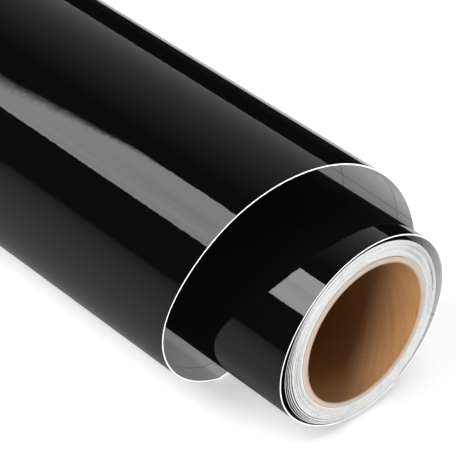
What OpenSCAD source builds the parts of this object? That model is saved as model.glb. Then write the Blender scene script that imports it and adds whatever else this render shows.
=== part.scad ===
// Roll of self-adhesive sign vinyl, lying on its side with its outer length loosened.
// The roll's axis lies along X, +X is the end that stands out of the loosened wrap.

/* [Core] */
// Bore of the paperboard core
core_bore_d = 50.8; // [38:0.1:76.2]
// Length of the core, which stands just proud of the web at each end
core_length = 306; // [200:0.5:640]
// Thickness of the smooth ply that lines the bore
inner_ply = 0.4; // [0.2:0.05:0.8]
// Thickness of the glued plies that make the wall
wall_plies = 1.3; // [0.8:0.05:6]
// Thickness of the ply that the web is wound on
outer_ply = 0.4; // [0.2:0.05:0.8]
// Thickness of the double-sided tape that starts the winding
tape_thickness = 0.12; // [0.08:0.01:0.3]
// Length of the tape around the core
tape_reach = 25; // [10:1:50]

/* [Web] */
// Width of the vinyl web
web_width = 304.8; // [198:0.1:635]
// Thickness of the vinyl film with its adhesive coat
film_thickness = 0.13; // [0.08:0.01:0.3]
// Thickness of the printed release liner
liner_thickness = 0.2; // [0.1:0.01:0.4]
// Turns wound tight on the core
pack_turns = 16; // [3:1:40]

/* [Loosened turn] */
// Space between the tight pack and the loosened turn where they run closest
turn_side_gap = 0.5; // [0.35:0.05:2]
// Space that opens between them at the upper back
turn_upper_gap = 3.4; // [2:0.1:8]
// Space that opens between them at the lower front
turn_lower_gap = 1.4; // [1:0.1:6]
// Direction of the upper space, up from level
turn_lean = 45; // [0:1:90]
// Slit under the loosened turn, where the web is parted
turn_slit = 3; // [1:0.5:10]

/* [Outer wrap] */
// How much larger the wrap's radius is than the tight pack's
wrap_slack = 12.1; // [10:0.1:30]
// Space between the loosened turn and the wrap where they run closest
wrap_near_gap = 0.8; // [0.5:0.1:3]
// Space between the loosened turn and the wrap's flattened bottom
wrap_rest_gap = 0.4; // [0.35:0.05:2]
// Direction in which the wrap stands off the roll, up from level
wrap_lean = 130; // [110:1:150]
// Angle over which the wrap's outer end laps its inner end
lap_angle = 20; // [5:1:35]
// Space between the two ends where they lap
lap_gap = 0.12; // [0.05:0.01:1]
// How far the wrap's inner end sits behind the end of the roll
wrap_setback = 12.2; // [0:0.1:60]
// How far the wrap drifts along the roll over its back quarter turn
back_drift = 6.3; // [0:0.1:30]
// How far it drifts along the roll over the top
top_drift = 10; // [0:0.1:30]
// How far it drifts along the roll down the front
front_drift = 13.8; // [0:0.1:30]
// How far it drifts along the roll underneath
under_drift = 5.1; // [0:0.1:30]

/* [Hidden] */
$fn = 96;

web_thickness = liner_thickness + film_thickness;
// A layer is named by the depths of its inner and outer faces in the web, from the liner's bare face.
liner = [0, liner_thickness];
film = [liner_thickness, web_thickness];

core_bore_r = core_bore_d / 2;
core_wall_r = core_bore_r + inner_ply;
core_outer_ply_r = core_wall_r + wall_plies;
core_r = core_outer_ply_r + outer_ply;
pack_start_r = core_r + tape_thickness;
pack_reach = pack_start_r + (pack_turns + 1) * web_thickness;

turn_r = pack_reach + turn_side_gap;
turn_up = turn_upper_gap - turn_side_gap;
turn_down = turn_lower_gap - turn_side_gap;
turn_slit_angle = -60;

lap_start = wrap_lean - 180;
lap_step = web_thickness + lap_gap;
wrap_r = pack_reach + wrap_slack;
wrap_end_r = wrap_r + lap_step / 2;
wrap_offset = wrap_r - wrap_near_gap - turn_extent(lap_start);
wrap_center = wrap_offset * unit(wrap_lean);

// Depths below the roll's axis
rest_depth = turn_extent(-90) + wrap_rest_gap;
floor_depth = rest_depth + web_thickness;

quarter_drifts = [back_drift, top_drift, front_drift, under_drift];
lap_end_drift = under_drift * (1 + sin(45 + lap_angle) / sin(45)) / 2;
core_overhang = (core_length - web_width) / 2;
overall_length = core_overhang + wrap_setback + drift_before(3) + lap_end_drift + web_width;
axis_place = [overall_length / 2 - core_overhang, -wrap_center.x, floor_depth];

function unit(angle) = [cos(angle), sin(angle)];

// Drift along the roll from the wrap's inner end to the start of one of its quarter turns
function drift_before(quarter) = quarter == 0 ? 0 : quarter_drifts[quarter - 1] + drift_before(quarter - 1);

// Reach of the loosened turn's outer face from the roll's axis in one direction
function turn_extent(angle) =
    turn_r + web_thickness + max(turn_up * cos(angle - turn_lean), -turn_down * cos(angle - turn_lean));

// Puts an outline drawn across the roll at its place along it, with Y to the right and Z up
module along_roll(from, length) {
    translate(axis_place + [from, 0, 0])
        rotate([90, 0, 90])
            linear_extrude(length)
                children();
}

module pie(from, to, reach) {
    steps = ceil((to - from) / 45);
    polygon(concat([[0, 0]], [for (i = [0:steps]) reach * unit(from + (to - from) * i / steps)]));
}

// Part of a ring between two angles
module arc_band(inner_r, outer_r, from, to) {
    intersection() {
        difference() {
            circle(outer_r);
            circle(inner_r);
        }
        pie(from, to, 2 * outer_r);
    }
}

module tube(inner_r, outer_r) {
    along_roll(-web_width - core_overhang, core_length)
        difference() {
            circle(outer_r);
            circle(inner_r);
        }
}

// Tight winding of one layer: the lower halves are centred half a pitch over, so each turn meets the next
module pack_layer(layer) {
    along_roll(-web_width, web_width)
        for (turn = [0:pack_turns - 1]) {
            inner_r = pack_start_r + turn * web_thickness;
            arc_band(inner_r + layer[0], inner_r + layer[1], 0, 180);
            translate([web_thickness / 2, 0])
                arc_band(inner_r + web_thickness / 2 + layer[0], inner_r + web_thickness / 2 + layer[1], 180, 360);
        }
}

module oval(r) {
    translate([turn_up, 0])
        circle(r);
    translate([-turn_down, 0])
        circle(r);
    translate([-turn_down, -r])
        square([turn_up + turn_down, 2 * r]);
}

// Loosened turn of one layer: an oval that leans back, parted along a slit underneath
module turn_layer(layer) {
    along_roll(-web_width, web_width)
        difference() {
            rotate(turn_lean)
                difference() {
                    oval(turn_r + layer[1]);
                    oval(turn_r + layer[0]);
                }
            rotate(turn_slit_angle)
                translate([0, -turn_slit / 2])
                    square([2 * turn_r, turn_slit]);
        }
}

// The wrap is drawn in a frame of its own: its centre at the middle, its inner end to the right.
module in_wrap_frame() {
    translate(axis_place + [0, wrap_center.x, wrap_center.y])
        rotate([lap_start, 0, 0])
            children();
}

// Area inside the wrap's outer half turn at one depth in the web, cut off level along the bottom
module flattened_disc(depth) {
    reach = 2 * wrap_end_r;
    difference() {
        translate([lap_step / 2, 0])
            circle(wrap_end_r + depth);
        rotate(-lap_start)
            translate([-reach, -reach - rest_depth - depth - wrap_center.y])
                square([2 * reach, reach]);
    }
}

// Outline of the wrap over one quarter turn: the inner half turn is round, and the outer one
// is centred half a lap step over, flat along the bottom, and runs on past the inner end
module wrap_quarter(layer, quarter) {
    if (quarter < 2)
        arc_band(wrap_r + layer[0], wrap_r + layer[1], 90 * quarter, 90 * quarter + 90);
    else
        intersection() {
            difference() {
                flattened_disc(layer[1]);
                flattened_disc(layer[0]);
            }
            translate([lap_step / 2, 0])
                pie(90 * quarter, 90 * quarter + 90 + (quarter == 3 ? lap_angle : 0), 2 * wrap_end_r);
        }
}

// The web's full width along the roll over one quarter turn, both edges slanting as it drifts
module slanting_width(quarter) {
    reach = 2 * wrap_r;
    drift = quarter_drifts[quarter];
    middle = -wrap_setback - drift_before(quarter) - drift / 2;
    lean = drift * reach / (2 * sin(45) * (wrap_r + web_thickness / 2));
    rotate([90 * quarter + 135, 0, 0])
        translate([0, 0, -reach])
            linear_extrude(2 * reach)
                polygon([
                    [middle - lean, reach],
                    [middle + lean, -reach],
                    [middle + lean - web_width, -reach],
                    [middle - lean - web_width, reach]
                ]);
}

module wrap_layer(layer) {
    in_wrap_frame()
        for (quarter = [0:3])
            intersection() {
                translate([-overall_length - web_width, 0, 0])
                    rotate([90, 0, 90])
                        linear_extrude(2 * overall_length)
                            wrap_quarter(layer, quarter);
                slanting_width(quarter);
            }
}

module core_inner_ply() {
    color("tan")
        tube(core_bore_r, core_wall_r);
}

module core_wall() {
    color("peru")
        tube(core_wall_r, core_outer_ply_r);
}

module core_outer_ply() {
    color("burlywood")
        tube(core_outer_ply_r, core_r);
}

module start_tape() {
    color("khaki")
        along_roll(-web_width, web_width)
            arc_band(core_r, pack_start_r, 0, tape_reach / core_r * 180 / PI);
}

module pack_liner() {
    color("whitesmoke")
        pack_layer(liner);
}

module pack_film() {
    color([0.05, 0.05, 0.055])
        pack_layer(film);
}

module loose_turn_liner() {
    color("gainsboro")
        turn_layer(liner);
}

module loose_turn_film() {
    color([0.05, 0.05, 0.055])
        turn_layer(film);
}

module outer_wrap_liner() {
    color("gainsboro")
        wrap_layer(liner);
}

module outer_wrap_film() {
    color([0.05, 0.05, 0.055])
        wrap_layer(film);
}

core_inner_ply();
core_wall();
core_outer_ply();
start_tape();
pack_liner();
pack_film();
loose_turn_liner();
loose_turn_film();
outer_wrap_liner();
outer_wrap_film();
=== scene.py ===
# Roll of gloss sign vinyl on its side: the outer length of the web is loosened into a wide wrap
# and the rest, still tight on its core, stands out of it.
import math
import bpy
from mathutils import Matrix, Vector


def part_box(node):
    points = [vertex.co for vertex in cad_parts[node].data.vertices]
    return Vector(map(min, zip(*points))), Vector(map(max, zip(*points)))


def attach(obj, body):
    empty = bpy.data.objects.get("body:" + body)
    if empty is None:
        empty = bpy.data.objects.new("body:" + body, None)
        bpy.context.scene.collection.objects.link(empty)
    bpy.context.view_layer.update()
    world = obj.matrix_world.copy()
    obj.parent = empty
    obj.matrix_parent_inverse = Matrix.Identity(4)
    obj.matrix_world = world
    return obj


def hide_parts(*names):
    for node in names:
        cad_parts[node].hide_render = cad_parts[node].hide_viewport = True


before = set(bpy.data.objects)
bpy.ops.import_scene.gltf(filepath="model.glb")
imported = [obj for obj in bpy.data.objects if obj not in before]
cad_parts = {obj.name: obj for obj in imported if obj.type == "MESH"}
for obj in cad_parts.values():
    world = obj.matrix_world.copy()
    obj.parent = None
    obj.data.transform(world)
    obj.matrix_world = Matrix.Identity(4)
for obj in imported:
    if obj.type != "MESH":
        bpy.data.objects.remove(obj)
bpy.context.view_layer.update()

mm = 0.001
scene = bpy.context.scene

# The roll's axis runs along X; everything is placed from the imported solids' boxes.
coreLow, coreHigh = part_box("core_inner_ply")
rollY = (coreLow[1] + coreHigh[1]) / 2
rollZ = (coreLow[2] + coreHigh[2]) / 2
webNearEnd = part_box("pack_liner")[1][0]

number = "NodeSocketFloat"
whole = "NodeSocketInt"
vector = "NodeSocketVector"
white = (1, 1, 1, 1)


def put(tree, kind, feeds=None, **settings):
    node = tree.nodes.new(kind)
    for name, value in settings.items():
        setattr(node, name, value)
    for key, value in (feeds or {}).items():
        feed(tree, node.inputs[key], value)
    return node


def feed(tree, socket, value):
    if isinstance(value, bpy.types.NodeSocket):
        tree.links.new(value, socket)
    else:
        socket.default_value = value


def calc(tree, operation, *values):
    node = put(tree, "ShaderNodeMath", operation=operation)
    for socket, value in zip(node.inputs, values):
        feed(tree, socket, value)
    return node.outputs[0]


def remap(tree, value, fromLow, fromHigh, toLow, toHigh, smooth=False):
    feeds = {0: value, 1: fromLow, 2: fromHigh, 3: toLow, 4: toHigh}
    node = put(tree, "ShaderNodeMapRange", feeds)
    if smooth:
        node.interpolation_type = "SMOOTHSTEP"
    return node.outputs[0]


def mixColour(tree, factor, first, second, blend="MIX"):
    feeds = {0: factor, 6: first, 7: second}
    node = put(tree, "ShaderNodeMix", data_type="RGBA", blend_type=blend)
    for index, value in feeds.items():
        feed(tree, node.inputs[index], value)
    return node.outputs[2]


def noise(tree, place, scale, detail, roughness=0.5, distortion=0.0):
    feeds = {"Vector": place, "Scale": scale, "Detail": detail}
    feeds.update({"Roughness": roughness, "Distortion": distortion})
    return put(tree, "ShaderNodeTexNoise", feeds).outputs[0]


def lineNoise(tree, along, scale, detail):
    feeds = {"W": along, "Scale": scale, "Detail": detail}
    return put(tree, "ShaderNodeTexNoise", feeds, noise_dimensions="1D").outputs[0]


def joinXYZ(tree, x, y=0.0, z=0.0):
    return put(tree, "ShaderNodeCombineXYZ", {0: x, 1: y, 2: z}).outputs[0]


def splitXYZ(tree, place):
    return put(tree, "ShaderNodeSeparateXYZ", {0: place}).outputs


def grey(tree, level):
    return put(tree, "ShaderNodeCombineColor", {0: level, 1: level, 2: level}).outputs[0]


def attribute(tree, name):
    return put(tree, "ShaderNodeAttribute", attribute_name=name).outputs["Fac"]


def bump(tree, height, distance, over=None):
    feeds = {"Height": height, "Distance": distance}
    if over:
        feeds["Normal"] = over
    return put(tree, "ShaderNodeBump", feeds).outputs[0]


def newTree(kind, name, inputs, outputs):
    # A new node group, its inputs by name, and the node that its outputs go to
    tree = bpy.data.node_groups.new(name, kind)
    for label, socketType, default in inputs:
        socket = tree.interface.new_socket(label, in_out="INPUT", socket_type=socketType)
        if default is not None:
            socket.default_value = default
    for label, socketType in outputs:
        tree.interface.new_socket(label, in_out="OUTPUT", socket_type=socketType)
    given = put(tree, "NodeGroupInput")
    take = {socket.name: socket for socket in given.outputs if socket.name}
    return tree, take, put(tree, "NodeGroupOutput")


grainShape = {
    "fineDetail": 5.0,
    "fineRoughness": 0.62,
    "fineWeight": 0.6,
    "fineLift": 0.2,
    "cloudShare": 0.07,  # of the fibres per metre
    "cloudDetail": 3.0,
    "cloudWeight": 0.5,
    "cloudDrop": 0.25,
    "fleckShare": 0.8,  # of the fibres per metre
    "fleckRim": (0.05, 0.22),
}


def buildFibreGrain():
    # Fibres, clouds and flecks, as in paper and board
    tree, take, made = newTree(
        "ShaderNodeTree",
        "fibreGrain",
        [
            ("Vector", vector, None),
            ("Fibres per Metre", number, 900.0),
            ("Fleck Amount", number, 0.3),
        ],
        [("Shade", number), ("Height", number)],
    )
    shape = grainShape
    place, fibres = take["Vector"], take["Fibres per Metre"]
    fine = noise(tree, place, fibres, shape["fineDetail"], shape["fineRoughness"])
    cloudScale = calc(tree, "MULTIPLY", fibres, shape["cloudShare"])
    cloud = noise(tree, place, cloudScale, shape["cloudDetail"])
    fleckScale = calc(tree, "MULTIPLY", fibres, shape["fleckShare"])
    feeds = {"Vector": place, "Scale": fleckScale, "Randomness": 1.0}
    fleck = put(tree, "ShaderNodeTexVoronoi", feeds)
    speck = remap(tree, fleck.outputs["Distance"], *shape["fleckRim"], 1.0, 0.0)
    shade = calc(tree, "MULTIPLY_ADD", fine, shape["fineWeight"], shape["fineLift"])
    shade = calc(tree, "SUBTRACT", shade, shape["cloudDrop"])
    shade = calc(tree, "MULTIPLY_ADD", cloud, shape["cloudWeight"], shade)
    shade = calc(tree, "SUBTRACT", shade, calc(tree, "MULTIPLY", speck, take["Fleck Amount"]))
    feed(tree, made.inputs["Shade"], shade)
    feed(tree, made.inputs["Height"], fine)
    return tree


cutMarks = {
    "nickDetail": 4.0,
    "nickRoughness": 0.7,
    "dirtFrom": (0.5, 0.68),
    "patchShare": 0.18,  # of the nicks per metre
    "patchDetail": 2.0,
    "patchFrom": (0.42, 0.62),
    "cleanest": 0.15,
}


def buildCutFace():
    # Marks the cut faces of a wound layer, and the grime and nicks that the knife left on them,
    # and passes on their tone and the mask for the painted shade where layers part
    tree, take, made = newTree(
        "ShaderNodeTree",
        "cutFace",
        [
            ("Vector", vector, None),
            ("Nicks per Metre", number, 700.0),
            ("Grime", number, 0.3),
        ],
        [
            ("Mask", number),
            ("Grime", number),
            ("Height", number),
            ("Tone", number),
            ("Parting", number),
        ],
    )
    marks = cutMarks
    place, nicks = take["Vector"], take["Nicks per Metre"]
    nick = noise(tree, place, nicks, marks["nickDetail"], marks["nickRoughness"])
    patchScale = calc(tree, "MULTIPLY", nicks, marks["patchShare"])
    patch = noise(tree, place, patchScale, marks["patchDetail"])
    dirt = remap(tree, nick, *marks["dirtFrom"], 0.0, 1.0)
    patchy = remap(tree, patch, *marks["patchFrom"], marks["cleanest"], 1.0)
    dirt = calc(tree, "MULTIPLY", calc(tree, "MULTIPLY", dirt, patchy), take["Grime"])
    feed(tree, made.inputs["Mask"], attribute(tree, "cutEdge"))
    feed(tree, made.inputs["Grime"], dirt)
    feed(tree, made.inputs["Height"], nick)
    feed(tree, made.inputs["Tone"], attribute(tree, "cutTone"))
    feed(tree, made.inputs["Parting"], attribute(tree, "parting"))
    return tree


rubShape = {"detail": 6.0, "roughness": 0.65, "distortion": 0.6, "from": (0.48, 0.75)}


def buildHandling():
    # Faint rubs and fingerprints left by handling
    tree, take, made = newTree(
        "ShaderNodeTree",
        "handlingMarks",
        [
            ("Vector", vector, None),
            ("Marks per Metre", number, 30.0),
            ("Strength", number, 1.0),
        ],
        [("Rub", number)],
    )
    shape = rubShape
    smear = noise(
        tree,
        take["Vector"],
        take["Marks per Metre"],
        shape["detail"],
        shape["roughness"],
        shape["distortion"],
    )
    rub = remap(tree, smear, *shape["from"], 0.0, 1.0, smooth=True)
    feed(tree, made.inputs["Rub"], calc(tree, "MULTIPLY", rub, take["Strength"]))
    return tree


fibreGrain = buildFibreGrain()
cutFace = buildCutFace()
handlingMarks = buildHandling()


def emptyMaterial(name):
    material = bpy.data.materials.new(name)
    material.use_nodes = True
    material.node_tree.nodes.clear()
    return material, material.node_tree


def newMaterial(name):
    material, tree = emptyMaterial(name)
    skin = put(tree, "ShaderNodeBsdfPrincipled")
    put(tree, "ShaderNodeOutputMaterial", {0: skin.outputs[0]})
    return material, tree, skin


def useGroup(tree, group, place, amounts):
    node = put(tree, "ShaderNodeGroup", node_tree=group)
    for name, value in {"Vector": place, **amounts}.items():
        feed(tree, node.inputs[name], value)
    return node.outputs


def grainOf(tree, place, look):
    amounts = {"Fibres per Metre": look["fibresPerMetre"], "Fleck Amount": look["fleckAmount"]}
    return useGroup(tree, fibreGrain, place, amounts)


def cutOf(tree, place, look):
    amounts = {"Nicks per Metre": look["nicksPerMetre"], "Grime": look["grimeAmount"]}
    return useGroup(tree, cutFace, place, amounts)


def rubOf(tree, place, look):
    amounts = {"Marks per Metre": look["rubsPerMetre"], "Strength": look["rubStrength"]}
    return useGroup(tree, handlingMarks, place, amounts)["Rub"]


def rollCoordinates(tree):
    # Object coordinates centred on the roll's axis
    place = put(tree, "ShaderNodeTexCoord").outputs["Object"]
    shift = put(tree, "ShaderNodeMapping", {0: place, "Location": (0, -rollY, -rollZ)})
    return shift.outputs[0]


# Mask for painted reflection shade: glossy rays, times the share
def seenInGloss(tree, share):
    glossy = put(tree, "ShaderNodeLightPath").outputs["Is Glossy Ray"]
    return calc(tree, "MULTIPLY", glossy, share)


def cutColour(tree, edge, look, partingShadeColour):
    # The cut edge's own colour, with its grime and tone, and painted shade where the layers part
    colour = mixColour(tree, edge["Grime"], look["cutColour"], look["cutGrime"])
    colour = mixColour(tree, 1.0, colour, grey(tree, edge["Tone"]), "MULTIPLY")
    return mixColour(tree, edge["Parting"], colour, partingShadeColour)


# Painted reflection shade: glossy rays see the cut edges and the liner painted this much darker.
paintedGlossShade = 0.97  # how much of an edge or the liner goes missing in the film's gloss
filmLook = {
    "black": (0.0026, 0.0026, 0.0029, 1),
    "cutColour": (0.80, 0.80, 0.79, 1),
    "cutGrime": (0.05, 0.05, 0.05, 1),
    "nicksPerMetre": 900.0,
    "grimeAmount": 0.8,
    "roughness": 0.024,
    "rubsPerMetre": 26.0,
    "rubStrength": 1.0,
    "rubRoughness": 0.018,
    "cutRoughness": 0.7,
    "ior": 1.5,
    "peelPerMetre": 420.0,
    "peelDepth": 1.0e-5,
    "drawPerMetre": 900.0,
    "drawStretch": 0.18,
    "drawDepth": 1.2e-6,
    "textureDetail": 2.0,
}


def makeFilm():
    look = filmLook
    material, tree, skin = newMaterial("glossBlackFilm")
    place = rollCoordinates(tree)
    edge = cutOf(tree, place, look)
    # The cut edge gets painted shade where the layers part (film black), and to glossy rays it is
    # painted film black too, a painted reflection shade, so it hardly shows in the film's own
    # gloss.
    cut = cutColour(tree, edge, look, look["black"])
    cut = mixColour(tree, seenInGloss(tree, paintedGlossShade), cut, look["black"])
    feed(tree, skin.inputs["Base Color"], mixColour(tree, edge["Mask"], look["black"], cut))
    rub = rubOf(tree, place, look)
    rough = calc(tree, "MULTIPLY_ADD", rub, look["rubRoughness"], look["roughness"])
    cutRough = calc(tree, "MULTIPLY", edge["Mask"], look["cutRoughness"])
    feed(tree, skin.inputs["Roughness"], calc(tree, "MAXIMUM", rough, cutRough))
    skin.inputs["IOR"].default_value = look["ior"]
    # Calendered film has a fine orange peel and lines drawn out along the web.
    along = calc(tree, "MULTIPLY", attribute(tree, "alongWeb"), look["drawStretch"])
    sheet = joinXYZ(tree, attribute(tree, "acrossWeb"), along)
    peel = noise(tree, place, look["peelPerMetre"], look["textureDetail"])
    draw = noise(tree, sheet, look["drawPerMetre"], look["textureDetail"])
    peelBump = bump(tree, peel, look["peelDepth"])
    feed(tree, skin.inputs["Normal"], bump(tree, draw, look["drawDepth"], peelBump))
    return material


linerLook = {
    "paper": (0.88, 0.88, 0.885, 1),
    "shadowPaper": (0.78, 0.785, 0.795, 1),
    "fibresPerMetre": 700.0,
    "fleckAmount": 0.05,
    "print": (0.42, 0.43, 0.45, 1),
    "gridPitch": 25.4 * mm,  # one-inch squares
    "lineWidth": 0.45 * mm,
    "lineSoftness": (0.7, 1.3),
    "gridAcross": 13.6 * mm,
    "gridAlong": 22.7 * mm,
    "skew": -0.131,
    "crossSkew": 0.049,
    "inkFrom": (0.2, 0.5),
    "inkAmount": (0.5, 0.9),
    "cutColour": (0.93, 0.93, 0.925, 1),
    "cutGrime": (0.35, 0.35, 0.34, 1),
    "partingShade": (0.09, 0.09, 0.09, 1),
    "paintedMirrorShade": (0.008, 0.008, 0.008, 1),
    "nicksPerMetre": 1100.0,
    "grimeAmount": 0.35,
    "nickHeight": 0.6,
    "roughness": 0.42,
    "rubsPerMetre": 40.0,
    "rubStrength": 0.5,
    "rubRoughness": 0.12,
    "grainDepth": 8e-6,
}


def gridInk(tree, shade):
    # The squares printed on the liner's bare face, in metres along the web and across it
    look = linerLook
    along, across = attribute(tree, "alongWeb"), attribute(tree, "acrossWeb")

    def toLine(value, start, other, skew):
        value = calc(tree, "SUBTRACT", value, start)
        slanted = calc(tree, "MULTIPLY_ADD", other, -skew, value)
        return calc(tree, "PINGPONG", slanted, look["gridPitch"] / 2)

    running = toLine(across, look["gridAcross"], along, look["skew"])
    crossing = toLine(along, look["gridAlong"], across, look["crossSkew"])
    nearest = calc(tree, "MINIMUM", running, crossing)
    soft, hard = (look["lineWidth"] / 2 * share for share in look["lineSoftness"])
    ink = remap(tree, nearest, soft, hard, 1.0, 0.0)
    worn = remap(tree, shade, *look["inkFrom"], *look["inkAmount"])
    return calc(tree, "MULTIPLY", ink, worn)


def makeLiner():
    look = linerLook
    material, tree, skin = newMaterial("printedReleaseLiner")
    place = rollCoordinates(tree)
    grain = grainOf(tree, place, look)
    edge = cutOf(tree, place, look)
    paper = mixColour(tree, grain["Shade"], look["shadowPaper"], look["paper"])
    face = mixColour(tree, gridInk(tree, grain["Shade"]), paper, look["print"])
    cut = cutColour(tree, edge, look, look["partingShade"])
    face = mixColour(tree, edge["Mask"], face, cut)
    # Painted reflection shade: to glossy rays the liner is painted nearly black, so it shows up
    # only faintly in the film's gloss.
    face = mixColour(tree, seenInGloss(tree, paintedGlossShade), face, look["paintedMirrorShade"])
    feed(tree, skin.inputs["Base Color"], face)
    rub = rubOf(tree, place, look)
    rough = calc(tree, "MULTIPLY_ADD", rub, look["rubRoughness"], look["roughness"])
    feed(tree, skin.inputs["Roughness"], rough)
    height = calc(tree, "MULTIPLY_ADD", edge["Height"], look["nickHeight"], grain["Height"])
    feed(tree, skin.inputs["Normal"], bump(tree, height, look["grainDepth"]))
    return material


boreLook = {
    "light": (0.46, 0.25, 0.115, 1),
    "dark": (0.25, 0.115, 0.040, 1),
    "fibresPerMetre": 900.0,
    "fleckAmount": 0.35,
    "grainWeight": 0.9,
    "shadeDrop": -0.3,
    "streakPitch": 96.0 * mm,  # along the core for one turn
    "streaks": (900.0, 5.0, 4.0, 0.6),  # per metre, per turn, detail, roughness
    "streakWeight": 0.8,
    "streakHeight": 0.5,
    "scratches": (2600.0, 9.0, 2.0, 0.5),
    "scratchFrom": (0.6, 0.7),
    "scratchShade": 0.35,
    "seam": (0.13, 0.056, 0.020, 1),
    "seamPitch": 62.0 * mm,
    "seamWidth": 0.6 * mm,
    "seamShade": 0.75,
    "seamHeight": -1.5,
    "depthShadeTint": (0.96, 0.84, 0.55, 1),
    "deepFrom": 6.0 * mm,
    "deepTo": 34.0 * mm,
    "lip": (0.50, 0.37, 0.29, 1),
    "lipDepth": 0.25 * mm,
    "lipRag": -0.2 * mm,
    "lipShade": 0.9,
    "roughness": 0.72,
    "rubsPerMetre": 55.0,
    "rubStrength": 0.6,
    "rubRoughness": -0.15,
    "grainDepth": 4e-5,
}


def makeBore():
    look = boreLook
    material, tree, skin = newMaterial("kraftBore")
    place = rollCoordinates(tree)
    x, y, z = splitXYZ(tree, place)
    turn = calc(tree, "DIVIDE", calc(tree, "ARCTAN2", z, y), 2 * math.pi)
    grain = grainOf(tree, place, look)

    def spiral(pitch):
        # Distance along X in a frame that winds round the axis once every pitch
        return calc(tree, "MULTIPLY_ADD", turn, pitch, x)

    def drawnOut(perMetre, perTurn, detail, roughness):
        # Marks drawn out round the bore, along the ply's wind
        run = calc(tree, "MULTIPLY", spiral(look["streakPitch"]), perMetre)
        drawn = joinXYZ(tree, run, calc(tree, "MULTIPLY", turn, perTurn))
        return noise(tree, drawn, 1.0, detail, roughness)

    # Streaks where the mandrel burnished the lining, and fine scratches
    streak = drawnOut(*look["streaks"])
    scratch = drawnOut(*look["scratches"])
    scratched = remap(tree, scratch, *look["scratchFrom"], 0.0, look["scratchShade"])
    shade = calc(tree, "MULTIPLY_ADD", grain["Shade"], look["grainWeight"], look["shadeDrop"])
    shade = calc(tree, "MULTIPLY_ADD", streak, look["streakWeight"], shade)
    shade = calc(tree, "ADD", shade, scratched)
    kraft = mixColour(tree, shade, look["dark"], look["light"])
    gap = calc(tree, "PINGPONG", spiral(look["seamPitch"]), look["seamPitch"] / 2)
    width = look["seamWidth"]
    seam = remap(tree, gap, width / 2, width, look["seamShade"], 0.0)
    kraft = mixColour(tree, seam, kraft, look["seam"])
    fromMiddle = calc(tree, "SUBTRACT", x, (coreLow[0] + coreHigh[0]) / 2)
    fromMiddle = calc(tree, "ABSOLUTE", fromMiddle)
    toEnd = calc(tree, "SUBTRACT", (coreHigh[0] - coreLow[0]) / 2, fromMiddle)
    toEnd = calc(tree, "MULTIPLY_ADD", grain["Height"], look["lipRag"], toEnd)
    # Painted shade: the lining is painted darker and browner further in from its mouths, where
    # the core shades it.
    depthShade = remap(tree, toEnd, look["deepFrom"], look["deepTo"], 0.0, 1.0, smooth=True)
    shadedDeepKraft = mixColour(tree, 1.0, kraft, look["depthShadeTint"], "MULTIPLY")
    kraft = mixColour(tree, depthShade, kraft, shadedDeepKraft)
    # The lining is paler within a quarter millimetre of each end.
    lip = remap(tree, toEnd, 0.0, look["lipDepth"], look["lipShade"], 0.0)
    feed(tree, skin.inputs["Base Color"], mixColour(tree, lip, kraft, look["lip"]))
    rub = rubOf(tree, place, look)
    rough = calc(tree, "MULTIPLY_ADD", rub, look["rubRoughness"], look["roughness"])
    feed(tree, skin.inputs["Roughness"], rough)
    height = calc(tree, "MULTIPLY_ADD", streak, look["streakHeight"], grain["Height"])
    height = calc(tree, "MULTIPLY_ADD", seam, look["seamHeight"], height)
    feed(tree, skin.inputs["Normal"], bump(tree, height, look["grainDepth"]))
    return material


heightSpan = (0.3, 0.7)  # where most of the grain's height lies
boardLook = {
    "wallLight": (0.54, 0.425, 0.352, 1),
    "wallDark": (0.40, 0.30, 0.235, 1),
    "outerLight": (0.53, 0.482, 0.452, 1),
    "outerDark": (0.405, 0.355, 0.317, 1),
    "pliesPerMetre": 2600.0,
    "facingPliesPerMetre": 3640.0,
    "fibresPerMetre": 1500.0,
    "fleckAmount": 0.2,
    "plyWobble": 0.12 * mm,
    "plyShade": 0.22,
    "plyHeight": 0.3,
    "roughness": (0.8, 0.92),
    "grainDepth": 3e-5,
}


def makeBoard(name, light, dark, plies):
    look = boardLook
    material, tree, skin = newMaterial(name)
    place = rollCoordinates(tree)
    y, z = splitXYZ(tree, place)[1:]
    squares = [calc(tree, "POWER", side, 2.0) for side in (y, z)]
    radius = calc(tree, "SQRT", calc(tree, "ADD", *squares))
    grain = grainOf(tree, place, look)
    wobble = calc(tree, "MULTIPLY_ADD", grain["Height"], look["plyWobble"], radius)
    ply = calc(tree, "SINE", calc(tree, "MULTIPLY", wobble, plies * 2 * math.pi))
    shade = calc(tree, "MULTIPLY_ADD", ply, look["plyShade"], grain["Shade"])
    feed(tree, skin.inputs["Base Color"], mixColour(tree, shade, dark, light))
    rough = remap(tree, grain["Height"], *heightSpan, *look["roughness"])
    feed(tree, skin.inputs["Roughness"], rough)
    height = calc(tree, "MULTIPLY_ADD", ply, look["plyHeight"], grain["Height"])
    feed(tree, skin.inputs["Normal"], bump(tree, height, look["grainDepth"]))
    return material


tapeLook = {
    "dark": (0.62, 0.55, 0.36, 1),
    "light": (0.80, 0.74, 0.55, 1),
    "fibresPerMetre": 500.0,
    "fleckAmount": 0.1,
    "roughness": (0.28, 0.42),
    "grainDepth": 1e-5,
}


def makeTape():
    look = tapeLook
    material, tree, skin = newMaterial("startTapeFilm")
    grain = grainOf(tree, rollCoordinates(tree), look)
    shade = mixColour(tree, grain["Shade"], look["dark"], look["light"])
    feed(tree, skin.inputs["Base Color"], shade)
    rough = remap(tree, grain["Height"], *heightSpan, *look["roughness"])
    feed(tree, skin.inputs["Roughness"], rough)
    feed(tree, skin.inputs["Normal"], bump(tree, grain["Height"], look["grainDepth"]))
    return material


film = makeFilm()
liner = makeLiner()
boreKraft = makeBore()
wallBoard = makeBoard(
    "chipboardWall", boardLook["wallLight"], boardLook["wallDark"], boardLook["pliesPerMetre"]
)
outerBoard = makeBoard(
    "coreFacing",
    boardLook["outerLight"],
    boardLook["outerDark"],
    boardLook["facingPliesPerMetre"],
)
tapeFilm = makeTape()
print("finishes made:", len(bpy.data.materials))

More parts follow.
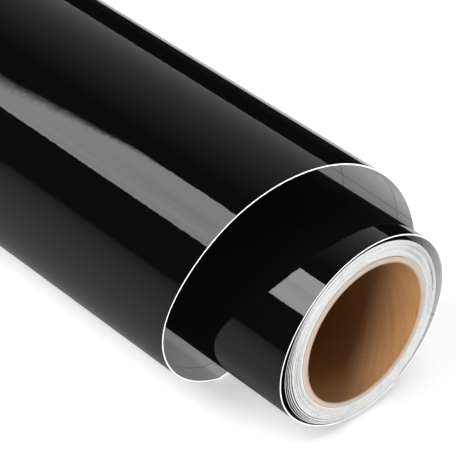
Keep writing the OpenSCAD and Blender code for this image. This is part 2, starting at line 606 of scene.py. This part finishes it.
windInputs = [
    ("Start Angle", number, 0.0),
    ("End Angle", number, 360.0),
    ("Steps", whole, 180),
    ("Start Radius", number, 0.03),
    ("Growth per Turn", number, 0.0),
    ("Centre Y", number, 0.0),
    ("Centre Z", number, 0.0),
    ("Upper Swell", number, 0.0),
    ("Upper Swell Angle", number, 18.0),
    ("Upper Swell Tightness", number, 2.6),
    ("Lower Swell", number, 0.0),
    ("Lower Swell Start", number, 1.0),
    ("Lower Swell Angle", number, 186.0),
    ("Lower Swell Tightness", number, 5.2),
    ("Rest Level", number, -1.0),
    ("Inner Depth", number, 0.0),
    ("Outer Depth", number, 0.0002),
    ("Chamfer", number, 0.00002),
    ("Near Edge", number, 0.0),
    ("Web Width", number, 0.3048),
    ("Drift", number, 0.0),
    ("Edge Waver", number, 0.0),
    ("Gape", number, 0.0),
    ("Parting", number, 0.0),
    ("Bed Fill", number, 0.0),
    ("Tape Relief", number, 0.0),
    ("Back Fill", number, 0.0),
    ("Cut Tone", number, 1.0),
    ("Seed", number, 0.0),
    ("Material", "NodeSocketMaterial", None),
]
windShape = {
    "sides": 8,
    "cutFacing": 0.5,  # a face that looks this much along the roll is a cut one
    "oneTurn": 0.999,  # just short of a turn, so that a joint falls on one side of it
    "patchPace": 1.3,  # how fast the parting changes round a turn
    "patchDetail": 2.0,
    "patchFrom": (0.3, 0.48),
    "patchLeast": 0.3,
    "layerPace": 2.3,  # how fast it changes from turn to turn
    "layerSeed": 3.1,
    "layerDetail": 1.0,
    "layerFrom": (0.47, 0.54),
    "layerLeast": 0.1,
    "tapeTurns": (0.15, 0.19),
    "waverPace": 0.9,
    "waverDetail": 3.0,
    "waverSeed": 31.7,  # keeps the two edges' wavering apart
    # Share of the drift at each share of the winding; the curve's own two ends come first.
    "drift": [
        (0.0, 0.0),
        (1.0, 1.0),
        (0.2368, 0.1754),
        (0.4737, 0.4538),
        (0.7105, 0.8380),
        (0.9474, 0.9800),
    ],
}


def buildWindTree():
    # Winds one layer of the web: a square-edged band carried round the roll as its angle,
    # radius and drift grow
    tree, take, made = newTree(
        "GeometryNodeTree", "windLayer", windInputs, [("Geometry", "NodeSocketGeometry")]
    )
    shape = windShape
    fullTurn = 2 * math.pi

    def do(operation, *values):
        return calc(tree, operation, *values)

    def half(value):
        return do("DIVIDE", value, 2.0)

    blank = put(
        tree,
        "GeometryNodeMeshCylinder",
        {"Vertices": shape["sides"], "Side Segments": take["Steps"], "Radius": 1.0, "Depth": 1.0},
    ).outputs["Mesh"]
    x, y, z = splitXYZ(tree, put(tree, "GeometryNodeInputPosition").outputs[0])
    progress = do("ADD", z, 0.5)
    # The points round the band's section, from the blank's sides
    around = do("ADD", do("ARCTAN2", y, x), math.pi / shape["sides"])
    cosine = do("COSINE", around)
    sine = do("SINE", around)
    endSide = do("SIGN", cosine)
    depthSide = do("SIGN", sine)
    onCut = do("GREATER_THAN", do("ABSOLUTE", cosine), do("ABSOLUTE", sine))

    first = do("RADIANS", take["Start Angle"])
    span = do("SUBTRACT", do("RADIANS", take["End Angle"]), first)
    wound = do("MULTIPLY", progress, span)
    angle = do("ADD", wound, first)
    turns = do("DIVIDE", wound, fullTurn)

    def swell(name):
        # 1 at the swell's own angle, falling off to both sides
        away = do("SUBTRACT", angle, do("RADIANS", take[name + " Swell Angle"]))
        drop = do("SUBTRACT", do("COSINE", away), 1.0)
        return do("EXPONENT", do("MULTIPLY", drop, take[name + " Swell Tightness"]))

    upper = swell("Upper")
    lower = swell("Lower")
    # Layers part a little where the web swells, more in some places than in others.
    opening = do("MAXIMUM", do("MULTIPLY", upper, upper), lower)
    patchAt = do("MULTIPLY_ADD", angle, shape["patchPace"], take["Seed"])
    patch = lineNoise(tree, patchAt, 1.0, shape["patchDetail"])
    patch = remap(tree, patch, *shape["patchFrom"], shape["patchLeast"], 1.0)
    # Some layers part, and the ones between them stay together.
    layerSeed = do("MULTIPLY", take["Seed"], shape["layerSeed"])
    layerAt = do("MULTIPLY_ADD", turns, shape["layerPace"], layerSeed)
    among = lineNoise(tree, layerAt, 1.0, shape["layerDetail"])
    among = remap(tree, among, *shape["layerFrom"], shape["layerLeast"], 1.0)
    opening = do("MULTIPLY", do("MULTIPLY", opening, patch), among)
    # Painted shade: how strongly the cut edges are painted darker where the layers part
    parting = do("MULTIPLY", opening, take["Parting"])

    # The first turn beds down on what is under it, and the last is backed up to a round outside.
    relief = remap(tree, turns, *shape["tapeTurns"], 0.0, 1.0)
    relief = do("MULTIPLY", relief, take["Tape Relief"])
    bed = do("MULTIPLY_ADD", turns, take["Bed Fill"], relief)
    bed = do("MULTIPLY", do("LESS_THAN", turns, shape["oneTurn"]), bed)
    innerDepth = do("SUBTRACT", take["Inner Depth"], bed)
    left = do("SUBTRACT", do("DIVIDE", span, fullTurn), turns)
    backing = do("MULTIPLY", left, take["Back Fill"])
    backing = do("MULTIPLY", do("LESS_THAN", left, shape["oneTurn"]), backing)
    outerDepth = do("SUBTRACT", take["Outer Depth"], do("MULTIPLY", take["Gape"], opening))
    outerDepth = do("ADD", outerDepth, backing)
    middle = half(do("ADD", innerDepth, outerDepth))
    halfDepth = half(do("SUBTRACT", outerDepth, innerDepth))
    inset = do("SUBTRACT", halfDepth, do("MULTIPLY", take["Chamfer"], onCut))
    depth = do("MULTIPLY_ADD", depthSide, inset, middle)
    radius = do("MULTIPLY_ADD", turns, take["Growth per Turn"], take["Start Radius"])
    radius = do("ADD", radius, depth)

    # The lower swell grows from its starting share to its full height over the winding.
    grown = remap(tree, progress, 0.0, 1.0, take["Lower Swell Start"], 1.0)
    lowerReach = do("MULTIPLY", do("MULTIPLY", lower, take["Lower Swell"]), grown)
    reach = do("MULTIPLY_ADD", upper, take["Upper Swell"], lowerReach)
    radius = do("ADD", radius, reach)
    placeY = do("MULTIPLY_ADD", radius, do("COSINE", angle), take["Centre Y"])
    placeZ = do("MULTIPLY_ADD", radius, do("SINE", angle), take["Centre Z"])
    placeZ = do("MAXIMUM", placeZ, do("SUBTRACT", take["Rest Level"], depth))

    curve = put(tree, "ShaderNodeFloatCurve", {"Value": progress})
    points = curve.mapping.curves[0].points
    for index, (at, height) in enumerate(shape["drift"]):
        point = points[index] if index < 2 else points.new(at, height)
        point.location = (at, height)
    curve.mapping.update()
    drift = do("MULTIPLY", curve.outputs[0], take["Drift"])
    waverAt = do("MULTIPLY_ADD", endSide, shape["waverSeed"], take["Seed"])
    waverAt = do("MULTIPLY_ADD", angle, shape["waverPace"], waverAt)
    waver = do("SUBTRACT", lineNoise(tree, waverAt, 1.0, shape["waverDetail"]), 0.5)
    waver = do("MULTIPLY", waver, do("MULTIPLY", take["Edge Waver"], 2.0))
    halfWidth = half(take["Web Width"])
    setIn = do("MULTIPLY", do("SUBTRACT", 1.0, onCut), take["Chamfer"])
    fromMiddle = do("MULTIPLY", endSide, do("SUBTRACT", halfWidth, setIn))
    across = do("SUBTRACT", halfWidth, fromMiddle)
    placeX = do("SUBTRACT", do("SUBTRACT", take["Near Edge"], across), drift)
    placeX = do("ADD", placeX, waver)
    middleTurns = do("DIVIDE", wound, 2 * fullTurn)
    meanRadius = do("MULTIPLY_ADD", middleTurns, take["Growth per Turn"], take["Start Radius"])
    along = do("MULTIPLY", wound, meanRadius)

    def keep(mesh, name, value, domain):
        feeds = {"Geometry": mesh, "Name": name, "Value": value}
        kind = "GeometryNodeStoreNamedAttribute"
        return put(tree, kind, feeds, data_type="FLOAT", domain=domain).outputs[0]

    # These are kept before the points move, because they are worked out from the blank.
    band = blank
    for name, value in (("alongWeb", along), ("acrossWeb", across), ("parting", parting)):
        band = keep(band, name, value, "POINT")
    place = joinXYZ(tree, placeX, placeY, placeZ)
    band = put(tree, "GeometryNodeSetPosition", {"Geometry": band, "Position": place}).outputs[0]
    facing = splitXYZ(tree, put(tree, "GeometryNodeInputNormal").outputs[0])[0]
    cut = do("GREATER_THAN", do("ABSOLUTE", facing), shape["cutFacing"])
    band = keep(band, "cutEdge", cut, "FACE")
    band = keep(band, "cutTone", take["Cut Tone"], "FACE")
    finishTree(tree, band, take, made)
    return tree


def finishTree(tree, geometry, take, made):
    real = put(tree, "GeometryNodeRealizeInstances", {0: geometry}).outputs[0]
    feeds = {"Geometry": real, "Material": take["Material"]}
    feed(tree, made.inputs[0], put(tree, "GeometryNodeSetMaterial", feeds).outputs[0])


def setInputs(modifier, tree, values):
    for item in tree.interface.items_tree:
        if item.item_type == "SOCKET" and item.in_out == "INPUT" and item.name in values:
            modifier[item.identifier] = values[item.name]


def runTree(name, tree, values, sharpAngle=30):
    # Runs a tree on an empty mesh and keeps the result as a plain mesh
    piece = bpy.data.objects.new(name, bpy.data.meshes.new(name + "Seed"))
    scene.collection.objects.link(piece)
    modifier = piece.modifiers.new(tree.name, "NODES")
    modifier.node_group = tree
    setInputs(modifier, tree, values)
    graph = bpy.context.evaluated_depsgraph_get()
    mesh = bpy.data.meshes.new_from_object(
        piece.evaluated_get(graph), preserve_all_data_layers=True, depsgraph=graph
    )
    mesh.name = name
    piece.modifiers.clear()
    piece.data = mesh
    mesh.polygons.foreach_set("use_smooth", [True] * len(mesh.polygons))
    mesh.set_sharp_from_angle(angle=math.radians(sharpAngle))
    return piece


# Sizes of the web and of its four lengths, in millimetres and degrees
web = {
    "width": 304.8,
    "liner": 0.20,
    "film": 0.13,
    "linerFluff": 0.15,  # the liner's cut edge stands this much proud of its bare face
    "chamfer": 0.02,
    "gape": 0.11,
    "tapeRelief": 0.1,
    "backingGap": 0.01,
    # filmParting and linerParting: how strongly the cut edges are painted with shade where the
    # layers part
    "filmParting": 0.65,
    "linerParting": 0.25,
    "packStart": 27.62,
    "packTurns": 12,
    "packStepsPerTurn": 96,
    "slackStart": 31.93,
    "slackAngles": (0.0, 1377.4),
    "slackSwell": 1.8,
    "slackSwellStart": 0.06,
    "turnRadius": 33.73,
    "turnAngles": (-57.4, 297.4),
    "turnUpperSwell": 2.75,
    "turnLowerSwell": 3.1,
    "wrapRadius": 45.33,
    "wrapLap": 0.52,
    "wrapCentre": (-6.680, 7.960),
    "wrapAngles": (-50, 330),
    "wrapSetback": 12.2,
    "wrapDrift": 35.92,
}
webThickness = web["liner"] + web["film"]
layers = {
    "Liner": {"Inner Depth": 0.0, "Outer Depth": web["liner"] * mm, "Material": liner},
    "Film": {
        "Inner Depth": web["liner"] * mm,
        "Outer Depth": webThickness * mm,
        "Material": film,
    },
}
everyLength = {
    "Chamfer": web["chamfer"] * mm,
    "Web Width": web["width"] * mm,
    "Centre Y": rollY,
    "Centre Z": rollZ,
    "Near Edge": webNearEnd,
}
windings = {
    "pack": {
        "Start Angle": 0.0,
        "End Angle": 360.0 * web["packTurns"],
        "Steps": web["packStepsPerTurn"] * web["packTurns"],
        "Start Radius": web["packStart"] * mm,
        "Growth per Turn": webThickness * mm,
        "Cut Tone": 0.69,
        "Edge Waver": 0.12 * mm,
    },
    "slackTurns": {
        "Start Angle": web["slackAngles"][0],
        "End Angle": web["slackAngles"][1],
        "Steps": 460,
        "Start Radius": web["slackStart"] * mm,
        "Growth per Turn": webThickness * mm,
        "Lower Swell": web["slackSwell"] * mm,
        "Lower Swell Start": web["slackSwellStart"],
        "Cut Tone": 0.68,
        "Edge Waver": 0.15 * mm,
    },
    "looseTurn": {
        "Start Angle": web["turnAngles"][0],
        "End Angle": web["turnAngles"][1],
        "Steps": 240,
        "Start Radius": web["turnRadius"] * mm,
        "Upper Swell": web["turnUpperSwell"] * mm,
        "Lower Swell": web["turnLowerSwell"] * mm,
        "Edge Waver": 0.1 * mm,
    },
    "wrap": {
        "Start Angle": web["wrapAngles"][0],
        "End Angle": web["wrapAngles"][1],
        "Steps": 456,
        "Start Radius": web["wrapRadius"] * mm,
        "Growth per Turn": web["wrapLap"] * mm,
        "Centre Y": rollY + web["wrapCentre"][0] * mm,
        "Centre Z": rollZ + web["wrapCentre"][1] * mm,
        "Rest Level": webThickness * mm,
        "Near Edge": webNearEnd - web["wrapSetback"] * mm,
        "Drift": web["wrapDrift"] * mm,
        "Edge Waver": 0.1 * mm,
    },
}
# Parting sets the painted shade on the cut edges where layers part; Bed Fill and Gape are real
# shape.
linerParting = {"Parting": web["linerParting"], "Bed Fill": webThickness * mm}
filmParting = {"Parting": web["filmParting"], "Gape": web["gape"] * mm}
fluffed = {"Inner Depth": -web["linerFluff"] * mm}
packLinerOwn = {**linerParting, "Tape Relief": web["tapeRelief"] * mm}
packFilmOwn = {**filmParting, "Back Fill": (webThickness - web["backingGap"]) * mm}
# Each length and layer, with the body it rides on, the CAD node it stands for, its slot, its seed
# and what is its own
stands = [
    ("pack", "Liner", "tight_roll", "pack_liner", "release_liner", 3.0, packLinerOwn),
    ("pack", "Film", "tight_roll", "pack_film", "vinyl_film", 3.0, packFilmOwn),
    ("slackTurns", "Liner", "loose_turn", None, "release_liner", 7.0, linerParting),
    ("slackTurns", "Film", "loose_turn", None, "vinyl_film", 7.0, filmParting),
    ("looseTurn", "Liner", "loose_turn", "loose_turn_liner", "release_liner", 11.0, fluffed),
    ("looseTurn", "Film", "loose_turn", "loose_turn_film", "vinyl_film", 11.0, {}),
    ("wrap", "Liner", "outer_wrap", "outer_wrap_liner", "release_liner", 23.0, fluffed),
    ("wrap", "Film", "outer_wrap", "outer_wrap_film", "vinyl_film", 23.0, {}),
]
windTree = buildWindTree()
for length, layer, body, node, slot, seed, ownValues in stands:
    values = {**everyLength, **windings[length], **layers[layer], **ownValues, "Seed": seed}
    piece = runTree(length + layer, windTree, values)
    if node:
        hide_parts(node)
    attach(piece, body)
    print("wound", piece.name, len(piece.data.vertices), "points")

# Sizes in millimetres; a ply that stands proud is that much longer than the core.
coreSizes = {
    "length": 306.0,
    "rounding": 0.12,
    "roundingSteps": 3,
    "ringSides": 160,
    "fuzz": 0.04,
    "fuzzPerMetre": 700.0,
    "fuzzDetail": 3.0,
    "sharpAngle": 50,
    "plies": [
        ("coreBoreLining", 25.4, 25.8, 0.10, "core_inner_ply", "bore_paper", boreKraft),
        ("coreWallPlies", 25.8, 27.1, 0.0, "core_wall", "core_board", wallBoard),
        ("coreFacingPly", 27.1, 27.5, -0.05, "core_outer_ply", "core_paper", outerBoard),
    ],
}
plyInputs = [
    ("Inner Radius", number, 0.02),
    ("Outer Radius", number, 0.03),
    ("Near End", number, 0.1),
    ("Length", number, 0.3),
    ("Rounding", number, 0.0001),
    ("Centre Y", number, 0.0),
    ("Centre Z", number, 0.0),
    ("Fuzz", number, 0.00005),
    ("Material", "NodeSocketMaterial", None),
]


def buildPlyTree():
    # Rolls one ply of the core: a tube with softened lips and a slightly ragged cut
    tree, take, made = newTree(
        "GeometryNodeTree", "rollPly", plyInputs, [("Geometry", "NodeSocketGeometry")]
    )
    inner, outer, length = take["Inner Radius"], take["Outer Radius"], take["Length"]
    middle = calc(tree, "DIVIDE", calc(tree, "ADD", inner, outer), 2.0)
    wall = calc(tree, "SUBTRACT", outer, inner)
    feeds = {"Resolution": coreSizes["ringSides"], "Radius": middle}
    ring = put(tree, "GeometryNodeCurvePrimitiveCircle", feeds).outputs[0]
    feeds = {"Width": wall, "Height": length}
    section = put(tree, "GeometryNodeCurvePrimitiveQuadrilateral", feeds).outputs[0]
    feeds = {"Curve": section, "Radius": take["Rounding"], "Count": coreSizes["roundingSteps"]}
    soft = put(tree, "GeometryNodeFilletCurve", feeds, mode="POLY").outputs[0]
    tube = put(tree, "GeometryNodeCurveToMesh", {"Curve": ring, "Profile Curve": soft}).outputs[0]
    feeds = {"Geometry": tube, "Rotation": (0.0, math.pi / 2, 0.0)}
    turned = put(tree, "GeometryNodeTransform", feeds).outputs[0]
    nearMiddle = calc(tree, "SUBTRACT", take["Near End"], calc(tree, "DIVIDE", length, 2.0))
    shift = joinXYZ(tree, nearMiddle, take["Centre Y"], take["Centre Z"])
    position = put(tree, "GeometryNodeInputPosition").outputs[0]
    rag = noise(tree, position, coreSizes["fuzzPerMetre"], coreSizes["fuzzDetail"])
    rag = calc(tree, "SUBTRACT", rag, 0.5)
    push = calc(tree, "MULTIPLY", rag, calc(tree, "MULTIPLY", take["Fuzz"], 2.0))
    feeds = {0: shift, 1: joinXYZ(tree, push)}
    offset = put(tree, "ShaderNodeVectorMath", feeds, operation="ADD").outputs[0]
    feeds = {"Geometry": turned, "Offset": offset}
    settled = put(tree, "GeometryNodeSetPosition", feeds).outputs[0]
    finishTree(tree, settled, take, made)
    return tree


plyTree = buildPlyTree()
for name, inner, outer, proud, node, slot, plyFinish in coreSizes["plies"]:
    values = {
        "Inner Radius": inner * mm,
        "Outer Radius": outer * mm,
        "Near End": coreHigh[0] + proud * mm / 2,
        "Length": (coreSizes["length"] + proud) * mm,
        "Rounding": coreSizes["rounding"] * mm,
        "Centre Y": rollY,
        "Centre Z": rollZ,
        "Fuzz": coreSizes["fuzz"] * mm,
        "Material": plyFinish,
    }
    piece = runTree(name, plyTree, values, coreSizes["sharpAngle"])
    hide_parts(node)
    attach(piece, "tight_roll")
    print("rolled", piece.name, len(piece.data.vertices), "points")

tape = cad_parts["start_tape"]
tape.data.materials.clear()
tape.data.materials.append(tapeFilm)

airLook = {"ambient": 0.2, "mirrorDark": 0.006}


def makeWorld():
    # White where the camera looks past the floor, dim as a light and nearly black in gloss
    world = bpy.data.worlds.new("studioAir")
    scene.world = world
    world.use_nodes = True
    tree = world.node_tree
    tree.nodes.clear()
    path = put(tree, "ShaderNodeLightPath").outputs
    ambient = airLook["ambient"]
    level = calc(tree, "MULTIPLY_ADD", path["Is Camera Ray"], 1.0 - ambient, ambient)
    loss = calc(tree, "MULTIPLY", path["Is Glossy Ray"], ambient - airLook["mirrorDark"])
    level = calc(tree, "SUBTRACT", level, loss)
    air = put(tree, "ShaderNodeBackground", {"Color": white, "Strength": level})
    put(tree, "ShaderNodeOutputWorld", {0: air.outputs[0]})


floorLook = {
    "halfSize": 4.0,
    "drop": 0.0001,
    "white": 0.86,
    "lift": 0.42,
    # Painted reflection: the floor's brightness in the film's gloss, painted by place: from Y, to
    # Y, and the brightness at each
    "front": (-0.36, -0.10, 0.17, 0.34),
    "farFront": (-1.2, -0.36, 0.3, 1.0),
    "behind": (0.205, 0.235, 1.0, 0.02),
    "strip": (0.06, 0.10, 1.0, 2.4),
}


def makeFloor():
    look = floorLook
    half, level = look["halfSize"], -look["drop"]
    corners = [(x * half, y * half, level) for x, y in ((-1, -1), (1, -1), (1, 1), (-1, 1))]
    mesh = bpy.data.meshes.new("studioFloor")
    mesh.from_pydata(corners, [], [(0, 1, 2, 3)])
    floor = bpy.data.objects.new("studioFloor", mesh)
    scene.collection.objects.link(floor)
    material, tree = emptyMaterial("paleFloor")
    path = put(tree, "ShaderNodeLightPath").outputs
    y = splitXYZ(tree, put(tree, "ShaderNodeTexCoord").outputs["Object"])[1]
    # Painted reflection: in the film's gloss the floor is painted bright in front of the roll and
    # falling away behind it.
    front = remap(tree, y, *look["front"])
    far = remap(tree, y, *look["farFront"])
    behind = remap(tree, y, *look["behind"], smooth=True)
    paintedFloorGloss = calc(tree, "MULTIPLY", calc(tree, "MULTIPLY", front, far), behind)
    # A painted brighter strip close behind the roll draws a thin painted highlight along the
    # film's far outline.
    paintedFloorGloss = calc(tree, "MULTIPLY", paintedFloorGloss, remap(tree, y, *look["strip"]))
    plain = put(tree, "ShaderNodeBsdfDiffuse", {"Color": (look["white"],) * 3 + (1,)})
    lift = calc(tree, "MULTIPLY", path["Is Camera Ray"], look["lift"])
    lift = put(tree, "ShaderNodeEmission", {"Color": white, "Strength": lift})
    plain = put(tree, "ShaderNodeAddShader", {0: plain.outputs[0], 1: lift.outputs[0]})
    mirrored = put(tree, "ShaderNodeBsdfDiffuse", {"Color": grey(tree, paintedFloorGloss)})
    feeds = {0: path["Is Glossy Ray"], 1: plain.outputs[0], 2: mirrored.outputs[0]}
    both = put(tree, "ShaderNodeMixShader", feeds)
    put(tree, "ShaderNodeOutputMaterial", {0: both.outputs[0]})
    mesh.materials.append(material)


# Soft light panels stand round the wrap's axis. Along a panel runs from its far end to its near
# end, and up it from its low angle to its high angle, each from 0 to 1.
wrapAxisHeight = 0.043
frontPanel = {
    "strength": 4.5,
    "slant": (0.30, 0.50, 0.3, 1.05),
    "edge": (-0.03, 0.01, 1.0, 0.0),
    "frayThreads": 420.0,
    "frayDetail": 2.0,
    "frayTeeth": (0.36, 0.62, 0.0, 1.0),
    "frayShare": (0.42, 0.56, 1.0, 0.0),
    "frayDepth": 0.3,
    "foldStretch": (2.0, 3.5),
    "foldScale": 2.0,
    "foldDetail": 4.0,
    "folds": (0.3, 0.7, 0.9, 1.1),
    "nearEnd": (0.592, 0.615, 1.0, 1.45),
}
backPanel = {"strength": 0.68, "fade": (0.0, 1.0, 1.0, 0.0), "falloff": 1.35}
edgePanel = {"strength": 1.6, "fade": (0.0, 1.0, 0.1, 1.0), "falloff": 1.5}


def frontStrength(tree, along, up):
    # The panel's upper corner is cut away on a slant, and its cloth is frayed there.
    panel = frontPanel
    slant = remap(tree, along, *panel["slant"])
    teeth = lineNoise(tree, along, panel["frayThreads"], panel["frayDetail"])
    teeth = remap(tree, teeth, *panel["frayTeeth"])
    fray = calc(tree, "MULTIPLY", teeth, remap(tree, along, *panel["frayShare"]))
    cut = calc(tree, "SUBTRACT", slant, calc(tree, "MULTIPLY", fray, panel["frayDepth"]))
    lit = remap(tree, calc(tree, "SUBTRACT", up, cut), *panel["edge"])
    # Folds in the cloth run along the panel.
    folded = [calc(tree, "MULTIPLY", *pair) for pair in zip((along, up), panel["foldStretch"])]
    fold = noise(tree, joinXYZ(tree, *folded), panel["foldScale"], panel["foldDetail"])
    lit = calc(tree, "MULTIPLY", lit, remap(tree, fold, *panel["folds"]))
    # The near end of the panel sits closer to its lamp.
    lit = calc(tree, "MULTIPLY", lit, remap(tree, along, *panel["nearEnd"]))
    return calc(tree, "MULTIPLY", lit, panel["strength"])


def fading(panel):
    def strengthAt(tree, along, up):
        fade = calc(tree, "POWER", remap(tree, up, *panel["fade"]), panel["falloff"])
        return calc(tree, "MULTIPLY", fade, panel["strength"])

    return strengthAt


# Distance in metres, low and high angle, far and near end, strength, and whether it is only
# mirrored. The last two stand beyond the near end, where only the film's far half and back
# mirror them.
panels = {
    "frontSoftbox": (0.9, 144, 110.5, -1.25, 0.1, frontStrength, False),
    "backSoftbox": (0.9, 21, 98, -1.4, 0.3, fading(backPanel), False),
    "backEdgeBox": (1.1, 40, 88, 0.4, 2.4, fading(edgePanel), True),
    "frontEdgeBox": (1.1, 158, 122, 0.4, 2.4, fading(edgePanel), True),
}


def makePanel(name, distance, low, high, farEnd, nearEnd, strengthAt, onlyMirrored):
    # One that is only mirrored shows in gloss and lights nothing else.
    corners = []
    for x, angle in ((farEnd, low), (nearEnd, low), (nearEnd, high), (farEnd, high)):
        y = distance * math.cos(math.radians(angle))
        z = wrapAxisHeight + distance * math.sin(math.radians(angle))
        corners.append(Vector((x, y, z)))
    mesh = bpy.data.meshes.new(name)
    mesh.from_pydata(corners, [], [(0, 1, 2, 3)])
    run = corners[1] - corners[0]
    rise = corners[3] - corners[0]
    layer = mesh.uv_layers.new(name="panel")
    for loop in mesh.loops:
        offset = mesh.vertices[loop.vertex_index].co - corners[0]
        layer.data[loop.index].uv = (
            offset.dot(run) / run.length_squared,
            offset.dot(rise) / rise.length_squared,
        )
    panel = bpy.data.objects.new(name, mesh)
    scene.collection.objects.link(panel)
    material, tree = emptyMaterial(name + "Glow")
    along, up = splitXYZ(tree, put(tree, "ShaderNodeTexCoord").outputs["UV"])[:2]
    strength = strengthAt(tree, along, up)
    if onlyMirrored:
        glossy = put(tree, "ShaderNodeLightPath").outputs["Is Glossy Ray"]
        strength = calc(tree, "MULTIPLY", strength, glossy)
    glow = put(tree, "ShaderNodeEmission", {"Color": white, "Strength": strength})
    put(tree, "ShaderNodeOutputMaterial", {0: glow.outputs[0]})
    mesh.materials.append(material)
    panel.visible_camera = False
    panel.visible_shadow = False
    panel.visible_diffuse = not onlyMirrored


lamps = {
    "overheadSoftbox": {
        "place": (0.22, 0.4, 1.45),
        "aim": (0.1, 0, 0),
        "size": (1.0, 1.0),
        "power": 9.0,
    },
    "sideSoftbox": {
        "place": (1.19, -0.36, 0.2),
        "aim": (0.17, 0, 0.04),
        "size": (0.4, 0.3),
        "power": 12.0,
        "spared": ("coreBoreLining",),
    },
    # These two only reach the liner's bare face, down the gap between the wrap and the roll.
    "backGapFill": {
        "place": (1.1, -0.45, 0.06),
        "aim": (0.16, 0.0, 0.045),
        "size": (0.5, 0.3),
        "power": 5.5,
        "reached": ("wrapLiner",),
        "stoppedBy": ("wrapFilm",),
    },
    "frontGapFill": {
        "place": (0.75, 0.55, 0.5),
        "aim": (0.14, -0.03, 0.02),
        "size": (0.5, 0.3),
        "power": 2.7,
        "reached": ("wrapLiner",),
        "stoppedBy": ("wrapFilm",),
    },
    # The bore is lit steeply from the front, so it darkens quickly down the core.
    "boreFill": {
        "place": (0.375, -0.79, 0.36),
        "aim": (0.17, 0.0, 0.035),
        "size": (0.3, 0.3),
        "power": 8.0,
        "reached": ("coreBoreLining",),
    },
}


def facing(place, aim):
    return (Vector(aim) - Vector(place)).to_track_quat("-Z", "Y").to_euler()


def makeLamp(name, place, aim, size, power, reached=(), spared=(), stoppedBy=()):
    light = bpy.data.lights.new(name, "AREA")
    light.shape = "RECTANGLE"
    light.size, light.size_y = size
    light.energy = power
    lamp = bpy.data.objects.new(name, light)
    scene.collection.objects.link(lamp)
    lamp.location = place
    lamp.rotation_euler = facing(place, aim)
    lamp.visible_glossy = False
    # The pieces that it lights, the ones that it leaves alone and the ones that cast its shadow
    links = (
        (reached, "INCLUDE", "receiver"),
        (spared, "EXCLUDE", "receiver"),
        (stoppedBy, "INCLUDE", "blocker"),
    )
    for names, state, end in links:
        if not names:
            continue
        group = bpy.data.collections.new(name + "-" + end)
        for pieceName in names:
            group.objects.link(bpy.data.objects[pieceName])
        for entry in group.collection_objects:
            entry.light_linking.link_state = state
        setattr(lamp.light_linking, end + "_collection", group)


camera = {
    "place": (0.57696, -0.4184, 0.5261),
    "aim": (0.1299, -0.0101, 0.0601),
    "lens": 187.6,
    "sensor": 36,
    "clip": (0.05, 20),
}


def makeCamera():
    data = bpy.data.cameras.new("studioCamera")
    data.lens = camera["lens"]
    data.sensor_width = camera["sensor"]
    data.clip_start, data.clip_end = camera["clip"]
    holder = bpy.data.objects.new("studioCamera", data)
    scene.collection.objects.link(holder)
    holder.location = camera["place"]
    holder.rotation_euler = facing(camera["place"], camera["aim"])
    scene.camera = holder


makeWorld()
makeFloor()
for name, values in panels.items():
    makePanel(name, *values)
for name, values in lamps.items():
    makeLamp(name, **values)
makeCamera()
scene.view_settings.view_transform = "Standard"
scene.view_settings.look = "None"
print("studio set")
